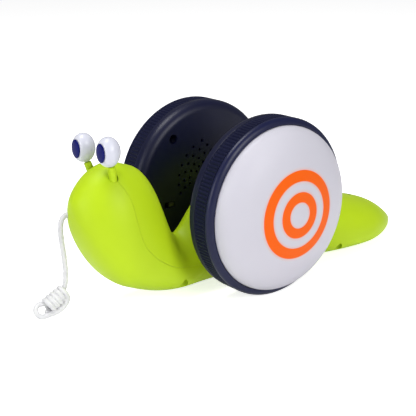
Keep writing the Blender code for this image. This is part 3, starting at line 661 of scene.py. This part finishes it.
eyes = {"at": (-125.6, 16.4), "height": {"left": 127.4, "right": 124.4}, "semi": (8.6, 8.6, 10.9), "flat": 6.0,
        "segments": 96, "rows": 72, "flatRings": 6, "lip": 0.10, "lipRise": 0.18, "lipReach": 0.4,
        "iris": (5.3, 6.8), "irisTip": -1.28,
        "irisRings": ((1.0, -0.3), (1.0, -0.62), (0.985, -0.78), (0.95, -0.9), (0.85, -1.02), (0.6, -1.16),
                      (0.3, -1.25)),
        "pivot": (-119.0, 12.2, 97.0), "stalk": (3.1, 2.8), "stalkTop": (2.3, 0.4, 0.3), "stalkSteps": 9,
        "barrel": (4.0, 3.4), "pinBore": (1.8, 6)}
for side, sign in sides:
    pivot = Vector((eyes["pivot"][0], sign * eyes["pivot"][1], eyes["pivot"][2]))
    shiftX, shiftY, gap = eyes["stalkTop"]
    top = Vector((eyes["at"][0] + shiftX, sign * (eyes["at"][1] - shiftY),
                  eyes["height"][side] - eyes["semi"][2] - gap))
    lean = (top - pivot).normalized()
    pinLow = (holes["pinX"][0], sign * eyes["pivot"][1] - holes["pinHalf"], holes["pinZ"][0])
    pinHigh = (holes["pinX"][1], sign * eyes["pivot"][1] + holes["pinHalf"], holes["pinZ"][1])
    for shell in (lowerShell, backCover):
        tools = [roundedBlock("bore", pinLow, pinHigh, 0.3, plain, place(0, 0, 0))]
        for step in range(holes["swingSteps"] + 1):
            turn = Matrix.Rotation(math.radians(holes["swing"] * step / holes["swingSteps"]), 3, "Y")
            tilted = turn @ lean
            tools.append(boreBetween(pivot + tilted * holes["stalkReach"][0], pivot + tilted * holes["stalkReach"][1],
                                     holes["stalk"], 40))
        cutAll(shell, *tools)

shellMaterial = surface("greenShell", shellLook)
for obj, node in ((lowerShell, "lower_shell"), (backCover, "back_cover")):
    smooth = obj.modifiers.new("weightedNormals", "WEIGHTED_NORMAL")
    smooth.keep_sharp = True
    dress(obj, shellMaterial, "body", "green_shell", node)
print("body shells made:", len(lowerShell.data.polygons), len(backCover.data.polygons), "faces")


# Pan head screws with a cross recess, set where their CAD nodes are
screwLook = {"colour": (0.50, 0.51, 0.53), "second": (0.40, 0.41, 0.44), "rough": (0.28, 0.40), "metal": 1.0,
             "bump": 0.15, "fine": 3000.0, "broad": 500.0, "wear": 0.3, "wearColour": (0.72, 0.72, 0.72), "dust": 0.05}
screw = {"bodyHead": 3.2, "wheelHead": 2.9, "headHigh": 2.2, "segments": 40,
         "head": ((0, 0), (0.55, 0.06), (0.82, 0.28), (0.96, 0.6), (1, 0.85), (1, 1)),
         "shank": 0.46, "root": 0.78, "pitch": 0.6, "lead": 0.3, "point": 1.2,
         "crossWide": 0.56, "crossThin": 0.13, "crossDeep": 0.75, "crossTurn": 0.3}
screwMaterial = surface("platedSteel", screwLook)


def makeScrew(name, node, down, headRadius, body):
    low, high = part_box(node)
    down = Vector(down)
    size = abs((high - low).dot(down))
    topAt = (low + high) / 2 - down * size / 2
    turn = Vector((0, 0, -1)).rotation_difference(down)
    headHigh = screw["headHigh"]

    def toRow(u, v, w):
        return tuple(turn @ Vector((u * mm, v * mm, w * mm)))

    profile = [(headRadius * r, -h * headHigh) for r, h in screw["head"]]
    shank = headRadius * screw["shank"]
    profile.append((shank, -headHigh))
    depth = -headHigh
    last = -(size / mm) + 0.05
    while depth - screw["pitch"] - screw["lead"] > last + screw["point"]:
        profile += [(shank * screw["root"], depth - screw["lead"]), (shank, depth - screw["pitch"])]
        depth -= screw["pitch"]
    profile += [(shank * 0.6, last + 0.8), (0, last)]
    obj = turned(name, profile, screw["segments"], toRow, topAt)
    for angle in (screw["crossTurn"], screw["crossTurn"] + math.pi / 2):
        c = math.cos(angle)
        s = math.sin(angle)
        low = (-headRadius * screw["crossWide"], -headRadius * screw["crossThin"], -headHigh * screw["crossDeep"])
        high = (headRadius * screw["crossWide"], headRadius * screw["crossThin"], headHigh)
        arm = lambda u, v, w: toRow(u * c - v * s, u * s + v * c, w)
        combine(obj, roundedBlock("bore", low, high, 0.05, arm, topAt, 1), "DIFFERENCE")
    smoothen(obj, 30)
    return dress(obj, screwMaterial, body, "steel", node)


for side, sign in sides:
    makeScrew(side + "BellyScrew", side + "_belly_screw", (0, 0, 1), screw["bodyHead"], "body")
    makeScrew(side + "TailScrew", side + "_tail_screw", (0, 0, 1), screw["bodyHead"], "body")
makeScrew("tailTopScrew", "tail_top_screw", (0, 0, -1), screw["bodyHead"], "body")
print("body screws made")


# Eyes: a glossy ball, an oval iris and a stalk that turns on its pin
ballLook = {"colour": (0.62, 0.63, 0.71), "second": (0.60, 0.61, 0.69), "rough": (0.20, 0.26), "bump": 0.02,
            "broad": 60.0, "wear": 0.0, "dust": 0.02, "glow": 0.12, "glowDepth": 0.002}
irisLook = {"colour": (0.0020, 0.0045, 0.105), "second": (0.0028, 0.0060, 0.125), "rough": (0.10, 0.14),
            "bump": 0.01, "broad": 260.0, "wear": 0.0, "dust": 0.0, "specular": 0.10}
stalkLook = {**shellLook, "broad": 120.0}
ballMaterial = surface("eyeWhite", ballLook)
irisMaterial = surface("irisBlue", irisLook)
stalkMaterial = surface("greenStalk", stalkLook)


def ovalRing(centre, x, wide, high):
    angles = [2 * math.pi * j / eyes["segments"] for j in range(eyes["segments"])]
    return [centre + Vector((x, wide * math.cos(a), high * math.sin(a))) for a in angles]


# An egg with a flat on its front and a softly rounded lip round the flat
def eyeBall(name, centre):
    ring = eyes["segments"]
    rows = eyes["rows"]
    flatRings = eyes["flatRings"]
    semi = eyes["semi"]
    lip = eyes["lip"]
    edge = math.acos(eyes["flat"] / semi[0])
    verts = [centre + Vector((-eyes["flat"], 0, 0))]
    for k in range(1, flatRings + 1):
        r = math.sin(edge) * (k / (flatRings + 1) * (1 - lip * 0.5))
        verts += ovalRing(centre, -eyes["flat"], semi[1] * r, semi[2] * r)
    for k in range(rows):
        polar = edge - lip + (math.pi - edge + lip - 0.001) * k / (rows - 1)
        x = -semi[0] * math.cos(polar)
        ease = max(0.0, 1 - abs(polar - edge) / lip)
        x = max(x, -eyes["flat"]) + eyes["lipRise"] * ease ** 2 * (x >= -eyes["flat"] - eyes["lipReach"])
        r = math.sin(polar)
        verts += ovalRing(centre, x, semi[1] * r, semi[2] * r)
    faces = [(0, 1 + (j + 1) % ring, 1 + j) for j in range(ring)]
    faces += [tuple(1 + i for i in face) for face in loftFaces(flatRings + rows, ring, False)]
    faces.append(tuple(1 + (flatRings + rows - 1) * ring + j for j in range(ring)))
    return meshPiece(name, [v * mm for v in verts], faces, place(0, 0, 0), 60)


# An oval button, domed in front
def irisDisc(name, centre):
    ring = eyes["segments"]
    rings = eyes["irisRings"]
    verts = [centre + Vector((-eyes["flat"] + rings[0][1], 0, 0))]
    for share, x in rings:
        verts += ovalRing(centre, -eyes["flat"] + x, eyes["iris"][0] * share, eyes["iris"][1] * share)
    verts.append(centre + Vector((-eyes["flat"] + eyes["irisTip"], 0, 0)))
    faces = [(0, 1 + j, 1 + (j + 1) % ring) for j in range(ring)]
    faces += [(1 + a, 1 + d, 1 + c, 1 + b) for a, b, c, d in loftFaces(len(rings), ring, False)]
    tip = len(verts) - 1
    start = tip - ring
    faces += [(tip, start + (j + 1) % ring, start + j) for j in range(ring)]
    return meshPiece(name, [v * mm for v in verts], faces, place(0, 0, 0), 50)


# A slightly tapered stalk with a cross barrel round the pivot pin
def eyeStalk(name, pivot, top):
    turn = Vector((0, 0, 1)).rotation_difference((top - pivot).normalized())
    length = (top - pivot).length

    def toRow(u, v, w):
        return tuple((pivot + turn @ Vector((u, v, w))) * mm)

    def crossBar(label, radius, reach, segs):
        return rodBetween(label, place(*pivot) - Vector((0, reach, 0)) * mm,
                          place(*pivot) + Vector((0, reach, 0)) * mm, radius * mm, segs)

    base, tip = eyes["stalk"]
    steps = eyes["stalkSteps"]
    profile = [(0, 0), (base, 0)]
    profile += [(base + (tip - base) * k / steps, length * k / steps) for k in range(1, steps)]
    profile += [(tip, length - 0.5), (tip - 0.15, length - 0.12), (tip - 0.5, length), (0, length)]
    obj = turned(name, profile, 64, toRow, place(0, 0, 0))
    combine(obj, crossBar("barrel", *eyes["barrel"], 48), "UNION")
    return cutAll(obj, crossBar("bore", *eyes["pinBore"], 32))


for side, sign in sides:
    centre = Vector((eyes["at"][0], sign * eyes["at"][1], eyes["height"][side]))
    pivot = Vector((eyes["pivot"][0], sign * eyes["pivot"][1], eyes["pivot"][2]))
    shiftX, shiftY, gap = eyes["stalkTop"]
    top = centre + Vector((shiftX, -sign * shiftY, -eyes["semi"][2] - gap))
    dress(eyeBall(side + "Eyeball", centre), ballMaterial, side + "_eye", "eye_white", side + "_eyeball")
    dress(irisDisc(side + "Iris", centre), irisMaterial, side + "_eye", "iris_blue", side + "_iris")
    dress(eyeStalk(side + "Stalk", pivot, top), stalkMaterial, side + "_eye", "green_shell", side + "_eye_stalk")
print("eyes made")


# Wheels: a housing, a ribbed tread, a bezel and a milky lens on each side
wheel = {"radius": 70.0, "hubFace": 29.6, "innerFace": 30.4, "treadIn": 41.3, "treadOut": 52.7, "bezel": 53.3,
         "rim": 58.3, "lensTop": 80.0, "lensRadius": 64.2, "domePower": 2.4, "ribs": 150, "ribDepth": 0.8, "segs": 288,
         "screwCircle": 55.0, "screwAngles": (52, 172, 292), "axle": 3.3, "hubEnd": 45.0, "bandSeat": 67.8,
         "bandInside": 68.1, "corner": 8.0, "wall": 65.2, "floor": 62, "thick": 2.4, "post": 5.0, "postEnd": 49.7,
         "recess": 3.9, "recessEnd": 40, "pilot": (1.8, 39, 60), "speakerHole": 1.25, "ribSteps": 10,
         "bezelIn": 50, "bezelThick": 2.2, "bezelLip": (64.5, 64.9), "bezelSteps": 14,
         "lensIn": 61.8, "lensThick": 2.2, "lensSteps": 44, "lensRings": (58.5, 50, 40, 28, 15, 0),
         "bay": ((-26, -44), (26, -19)), "slot": ((34, -13), (44, -8)),
         "door": ((-25.6, -43.6, 0.1), (25.6, -19.4, 2.0)), "knob": ((34.6, -12.4, 0.2), (39.4, -8.6, 4.4))}
wheelAt = Vector((hub.x, 0, hub.z))
# The housing's navy is painted darker than the bezel's navy of the same plastic, as painted shade for the faces between
# the wheels; the door and other navy_shell nodes share it
shadedHousingLook = {"colour": (0.0034, 0.0048, 0.028), "second": (0.0028, 0.0040, 0.023), "rough": (0.36, 0.44),
               "bump": 0.10, "fine": 1800.0, "broad": 30.0, "wear": 0.10, "wearColour": (0.03, 0.035, 0.08),
               "dust": 0.0, "specular": 0.3}
treadLook = {"colour": (0.0034, 0.0048, 0.024), "second": (0.0040, 0.0056, 0.028), "rough": (0.50, 0.60), "bump": 0.2,
             "fine": 1500.0, "broad": 60.0, "wear": 0.20, "wearColour": (0.02, 0.025, 0.06), "dust": 0.0,
             "specular": 0.14}
bezelLook = {"colour": (0.0062, 0.0085, 0.042), "second": (0.0055, 0.0075, 0.037), "rough": (0.33, 0.40), "bump": 0.08,
             "fine": 1800.0, "broad": 40.0, "wear": 0.10, "wearColour": (0.03, 0.035, 0.08), "dust": 0.0,
             "specular": 0.3}
# The last four keys paint an orange glow into the milky plastic beside the printed rings
lensLook = {"colour": (0.545, 0.535, 0.595), "second": (0.53, 0.52, 0.58), "rough": (0.34, 0.40), "bump": 0.05,
            "fine": 2000.0, "broad": 16.0, "wear": 0.0, "dust": 0.0, "specular": 0.14, "glow": 0.06, "glowDepth": 0.001,
            "rings": ((10.0, 17.9), (25.9, 34.3)), "print": (0.80, 0.108, 0.0), "printBlur": 0.32,
            "paintedGlow": (0.80, 0.30, 0.14), "paintedGlowReach": 0.9, "paintedGlowBlur": 1.9, "paintedGlowShare": 0.45}


# Printed rings, with a painted orange glow spread into the milky plastic beside them
def paintRingsAndGlow(tree, coords, colour):
    # First a painted orange glow round each ring, then the print over it
    for inner, outer in lensLook["rings"]:
        paintedGlow = useGroup(tree, ringGroup, Vector=coords, Inner=(inner - lensLook["paintedGlowReach"]) * mm,
                        Outer=(outer + lensLook["paintedGlowReach"]) * mm, Blur=lensLook["paintedGlowBlur"] * mm)
        share = sums(tree, "MULTIPLY", paintedGlow.outputs["Mask"], lensLook["paintedGlowShare"])
        colour = blendColours(tree, share, colour, lensLook["paintedGlow"])
    for inner, outer in lensLook["rings"]:
        ring = useGroup(tree, ringGroup, Vector=coords, Inner=inner * mm, Outer=outer * mm,
                        Blur=lensLook["printBlur"] * mm)
        colour = blendColours(tree, ring.outputs["Mask"], colour, lensLook["print"])
    return colour


shadedHousingMaterial = surface("navyHousingPaintedShade", shadedHousingLook)
treadMaterial = surface("navyTread", treadLook)
bezelMaterial = surface("navyBezel", bezelLook)
lensMaterial = surface("milkyLens", lensLook, paintRingsAndGlow)


def domeHeight(radius):
    fall = min(1.0, radius / wheel["lensRadius"]) ** wheel["domePower"]
    return wheel["rim"] + (wheel["lensTop"] - wheel["rim"]) * math.sqrt(1 - fall)


def arc(centreR, centreW, radius, start, end, steps):
    return [(centreR + radius * math.cos(math.radians(start + (end - start) * k / steps)),
             centreW + radius * math.sin(math.radians(start + (end - start) * k / steps))) for k in range(steps + 1)]


# Seven short slanting rows of holes that follow a spiral round the hub
def speakerHoles():
    found = []
    for row in range(7):
        for k in range(4 if 2 <= row <= 4 else 3):
            reach = 38.3 - 1.75 * row - 4.9 * k
            angle = math.radians(97 + 14.8 * row - 8.6 * k)
            found.append((-reach * math.cos(angle), reach * math.sin(angle)))
    return found


def makeHousing(side, toRow):
    face = wheel["innerFace"]
    r = wheel["radius"]
    corner = wheel["corner"]
    outer = wheel["treadOut"] + 0.3
    inner = wheel["treadIn"] - 0.3
    profile = [(wheel["bandSeat"], outer), (wheel["bandSeat"], inner), (r - 0.25, inner)]
    profile += arc(r - 0.25, wheel["treadIn"] - 0.55, 0.25, 90, 0, 3)
    profile += arc(r - corner, face + corner, corner, 0, -90, 16)
    profile += [(12.0, face), (10.8, face - 0.1), (10.0, face - 0.5), (9.0, wheel["hubFace"])]
    profile += [(wheel["axle"], wheel["hubFace"]), (wheel["axle"], wheel["hubEnd"]), (7, wheel["hubEnd"])]
    profile += [(7, face + wheel["thick"]), (wheel["floor"], face + wheel["thick"]), (wheel["wall"], face + 6.5),
                (wheel["wall"], outer)]
    obj = turned(side + "Housing", profile, wheel["segs"], toRow, wheelAt)
    obj.data.transform(Matrix.Translation(wheelAt))
    obj.location = (0, 0, 0)

    def post(u, v, start, end, radius, segs):
        return rodBetween("bore", wheelAt + Vector(toRow(u, v, start)), wheelAt + Vector(toRow(u, v, end)),
                          radius * mm, segs)

    def opening(corners, radius):
        (lowU, lowV), (highU, highV) = corners
        return roundedBlock("bore", (lowU, lowV, face - 2), (highU, highV, face + 5), radius, toRow, wheelAt)

    bolts = [(wheel["screwCircle"] * math.cos(math.radians(a)), wheel["screwCircle"] * math.sin(math.radians(a)))
             for a in wheel["screwAngles"]]
    for u, v in bolts:
        combine(obj, post(u, v, face + 1, wheel["postEnd"], wheel["post"], 40), "UNION")
    pilot, pilotStart, pilotEnd = wheel["pilot"]
    for u, v in bolts:
        combine(obj, post(u, v, face - 5, wheel["recessEnd"], wheel["recess"], 48), "DIFFERENCE")
        combine(obj, post(u, v, pilotStart, pilotEnd, pilot, 16), "DIFFERENCE")
    for u, v in speakerHoles():
        combine(obj, post(u, v, face - 5, face + 5, wheel["speakerHole"], 20), "DIFFERENCE")
    combine(obj, opening(wheel["bay"], 0.8), "DIFFERENCE")
    combine(obj, opening(wheel["slot"], 0.4), "DIFFERENCE")
    obj.data.transform(Matrix.Translation(-wheelAt))
    obj.location = wheelAt
    smoothen(obj)
    return obj


# A rubber band with fine cross ribs that fade out at its edges
def makeTread(side, toRow):
    per = wheel["ribSteps"]
    count = wheel["ribs"] * per
    low = wheel["treadIn"]
    high = wheel["treadOut"]
    across = [(low, 0.0, 0.25), (low + 0.35, 0.35, 0.0), (low + 0.9, 1.0, 0.0)]
    across += [(low + 0.9 + (high - low - 1.8) * k / 4, 1.0, 0.0) for k in range(1, 4)]
    across += [(high - 0.9, 1.0, 0.0), (high - 0.35, 0.35, 0.0), (high, 0.0, 0.25)]
    verts = []
    for w, depth, drop in across:
        for k in range(count):
            phase = 2 * math.pi * (k % per) / per
            groove = (0.5 - 0.5 * math.cos(phase)) ** 1.6
            r = wheel["radius"] - drop - wheel["ribDepth"] * depth * groove
            angle = 2 * math.pi * k / count
            verts.append(toRow(r * math.cos(angle), r * math.sin(angle), w))
    for w in (high, low):
        for k in range(count):
            angle = 2 * math.pi * k / count
            verts.append(toRow(wheel["bandInside"] * math.cos(angle), wheel["bandInside"] * math.sin(angle), w))
    faces = loftFaces(len(across) + 2, count, True)
    return meshPiece(side + "Tread", verts, faces, wheelAt, 60)


def makeBezel(side, toRow):
    base = wheel["bezel"]
    rim = wheel["rim"]
    r = wheel["radius"]
    inside, lip = wheel["bezelLip"]
    thick = wheel["bezelThick"]
    profile = [(inside, rim - 0.9), (inside + 0.05, rim - 0.6), (inside + 0.2, rim - 0.42)]
    for k in range(wheel["bezelSteps"] + 1):
        angle = math.pi / 2 * k / wheel["bezelSteps"]
        profile.append((lip + (r - lip) * math.sin(angle), base + 0.4 + (rim - 0.8 - base) * math.cos(angle)))
    profile += [(r, base + 0.2), (r - 0.2, base), (wheel["bezelIn"], base), (wheel["bezelIn"], base + thick),
                (inside, base + thick)]
    return turned(side + "Bezel", profile, wheel["segs"], toRow, wheelAt)


def makeLens(side, toRow):
    r = wheel["lensRadius"]
    reaches = [r * math.sin(math.pi / 2 * k / wheel["lensSteps"]) for k in range(wheel["lensSteps"] + 1)]
    skirt = wheel["bezel"] + 2.5
    profile = [(q, domeHeight(q)) for q in reaches]
    profile += [(r, skirt), (wheel["lensIn"], skirt), (wheel["lensIn"], wheel["rim"])]
    profile += [(q, domeHeight(q) - wheel["lensThick"]) for q in wheel["lensRings"]]
    return turned(side + "Lens", profile, wheel["segs"], toRow, wheelAt, 50)


# A small block on the wheel's inner face, its heights measured from that face
def faceBlock(name, corners, radius, toRow):
    low, high = [(u, v, wheel["innerFace"] + w) for u, v, w in corners]
    return roundedBlock(name, low, high, radius, toRow, wheelAt)


trimLook = {"colour": (0.016, 0.016, 0.018), "second": (0.024, 0.024, 0.026), "rough": (0.42, 0.55), "bump": 0.15,
            "broad": 200.0, "wear": 0.3, "wearColour": (0.09, 0.09, 0.09), "dust": 0.03}
trimMaterial = surface("blackPlastic", trimLook)
for side, sign in sides:
    toRow = outward(side)
    body = side + "_wheel"
    dress(makeHousing(side, toRow), shadedHousingMaterial, body, "navy_shell", side + "_housing")
    dress(makeTread(side, toRow), treadMaterial, body, "navy_tread", side + "_tread")
    dress(makeBezel(side, toRow), bezelMaterial, body, "navy_shell", side + "_bezel")
    dress(makeLens(side, toRow), lensMaterial, body, "milky_lens", side + "_lens")
    door = faceBlock(side + "Door", wheel["door"], 0.6, toRow)
    dress(door, shadedHousingMaterial, body, "navy_shell", side + "_battery_door")
    knob = faceBlock(side + "SwitchKnob", wheel["knob"], 0.4, toRow)
    dress(knob, trimMaterial, side + "_switch", "black_plastic", side + "_switch")
    for letter in "abc":
        makeScrew(f"{side}WheelScrew{letter.upper()}", f"{side}_wheel_screw_{letter}", (0, sign, 0),
                  screw["wheelHead"], body)
print("wheels made")


# The roller under the tail, with a shallow groove round its middle
rollerProfile = [(9.0, 4.2), (8.9, 4.7), (8.6, 5.2), (8.0, 5.5), (4.2, 5.5), (4.0, 5.2), (1.8, 5.2), (1.8, -5.2),
                 (4.0, -5.2), (4.2, -5.5), (8.0, -5.5), (8.6, -5.2), (8.9, -4.7), (9.0, -4.2), (9.0, -1.2), (8.6, -0.8),
                 (8.6, 0.8), (9.0, 1.2)]
roller = turned("tailRoller", rollerProfile, 96, lambda u, v, w: (u * mm, w * mm, v * mm), rollerAt)
dress(roller, trimMaterial, "tail_roller", "black_plastic", "tail_roller")
print("tail roller made")


# CAD nodes that show as they are
whiteLook = {"colour": (0.74, 0.74, 0.72), "second": (0.70, 0.70, 0.68), "rough": (0.40, 0.5), "broad": 200.0,
             "wear": 0.1, "dust": 0.04}
boardLook = {"colour": (0.012, 0.11, 0.035), "second": (0.010, 0.085, 0.028), "rough": (0.25, 0.35), "broad": 300.0,
             "wear": 0.2, "wearColour": (0.5, 0.36, 0.12), "coat": 0.3}
cellLook = {"colour": (0.60, 0.33, 0.12), "second": (0.54, 0.30, 0.11), "rough": (0.25, 0.35), "broad": 150.0,
            "metal": 0.7, "wear": 0.2, "wearColour": (0.7, 0.68, 0.62)}
ledLook = {"colour": (0.82, 0.82, 0.80), "second": (0.78, 0.78, 0.77), "rough": (0.08, 0.14), "broad": 400.0,
           "wear": 0.0, "coat": 0.5}
whiteMaterial = surface("whiteBush", whiteLook)
boardMaterial = surface("circuitBoard", boardLook)
cellMaterial = surface("cellSleeve", cellLook)
ledMaterial = surface("clearLed", ledLook)
slotMaterials = {"green_shell": shellMaterial, "navy_shell": shadedHousingMaterial, "navy_tread": treadMaterial,
                 "milky_lens": lensMaterial, "eye_white": ballMaterial, "iris_blue": irisMaterial,
                 "steel": screwMaterial, "black_plastic": trimMaterial, "white_plastic": whiteMaterial,
                 "board": boardMaterial, "clear_led": ledMaterial, "cell_sleeve": cellMaterial, "cord": cordMaterial}
for part in frame["record"]["subparts"]:
    obj = frame["nodes"][part["node"]]
    obj.data.materials.clear()
    obj.data.materials.append(slotMaterials[part["material_slot"]])
print("CAD nodes dressed")


# Floor, world and lights; floor and world look brighter to the camera than they shine
stage = {"floor": (0.90, 0.90, 0.905), "half": 6, "rough": 0.9, "specular": 0.1, "lift": 0.16, "seenLift": 0.55,
         "world": 0.22, "aim": (0, 0, 0.06),
         "lights": (("frontLight", (0.15, -1.55, 0.75), 0.9, 15.0), ("noseLight", (-1.6, -0.25, 0.6), 0.8, 9.5),
                    ("topLight", (-0.35, 0.15, 1.5), 0.8, 14.0))}
half = stage["half"]
floorMesh = bpy.data.meshes.new("floor")
floorMesh.from_pydata([(-half, -half, 0), (half, -half, 0), (half, half, 0), (-half, half, 0)], [], [(0, 1, 2, 3)])
floor = bpy.data.objects.new("floor", floorMesh)
bpy.context.scene.collection.objects.link(floor)
floorMaterial = bpy.data.materials.new("paleFloor")
floorMaterial.use_nodes = True
floorTree = floorMaterial.node_tree
floorShader = floorTree.nodes["Principled BSDF"]
floorShader.inputs["Base Color"].default_value = (*stage["floor"], 1)
floorShader.inputs["Roughness"].default_value = stage["rough"]
floorShader.inputs["Specular IOR Level"].default_value = stage["specular"]
floorShader.inputs["Emission Color"].default_value = (1, 1, 1, 1)
seen = addNode(floorTree, "ShaderNodeLightPath").outputs["Is Camera Ray"]
lift = sums(floorTree, "ADD", sums(floorTree, "MULTIPLY", seen, stage["seenLift"]), stage["lift"])
floorTree.links.new(lift, floorShader.inputs["Emission Strength"])
floor.data.materials.append(floorMaterial)

world = bpy.data.worlds.new("studio")
world.use_nodes = True
worldTree = world.node_tree
backdrop = worldTree.nodes["Background"]
backdrop.inputs["Color"].default_value = (1, 1, 1, 1)
seen = addNode(worldTree, "ShaderNodeLightPath").outputs["Is Camera Ray"]
worldTree.links.new(spread(worldTree, seen, 0.0, 1.0, stage["world"], 1.0), backdrop.inputs["Strength"])
bpy.context.scene.world = world


def softLight(name, spot, size, power):
    data = bpy.data.lights.new(name, "AREA")
    data.shape = "DISK"
    data.size = size
    data.energy = power
    obj = bpy.data.objects.new(name, data)
    bpy.context.scene.collection.objects.link(obj)
    obj.location = spot
    obj.rotation_mode = "QUATERNION"
    obj.rotation_quaternion = (Vector(spot) - Vector(stage["aim"])).to_track_quat("Z", "Y")


for light in stage["lights"]:
    softLight(*light)
print("stage set")
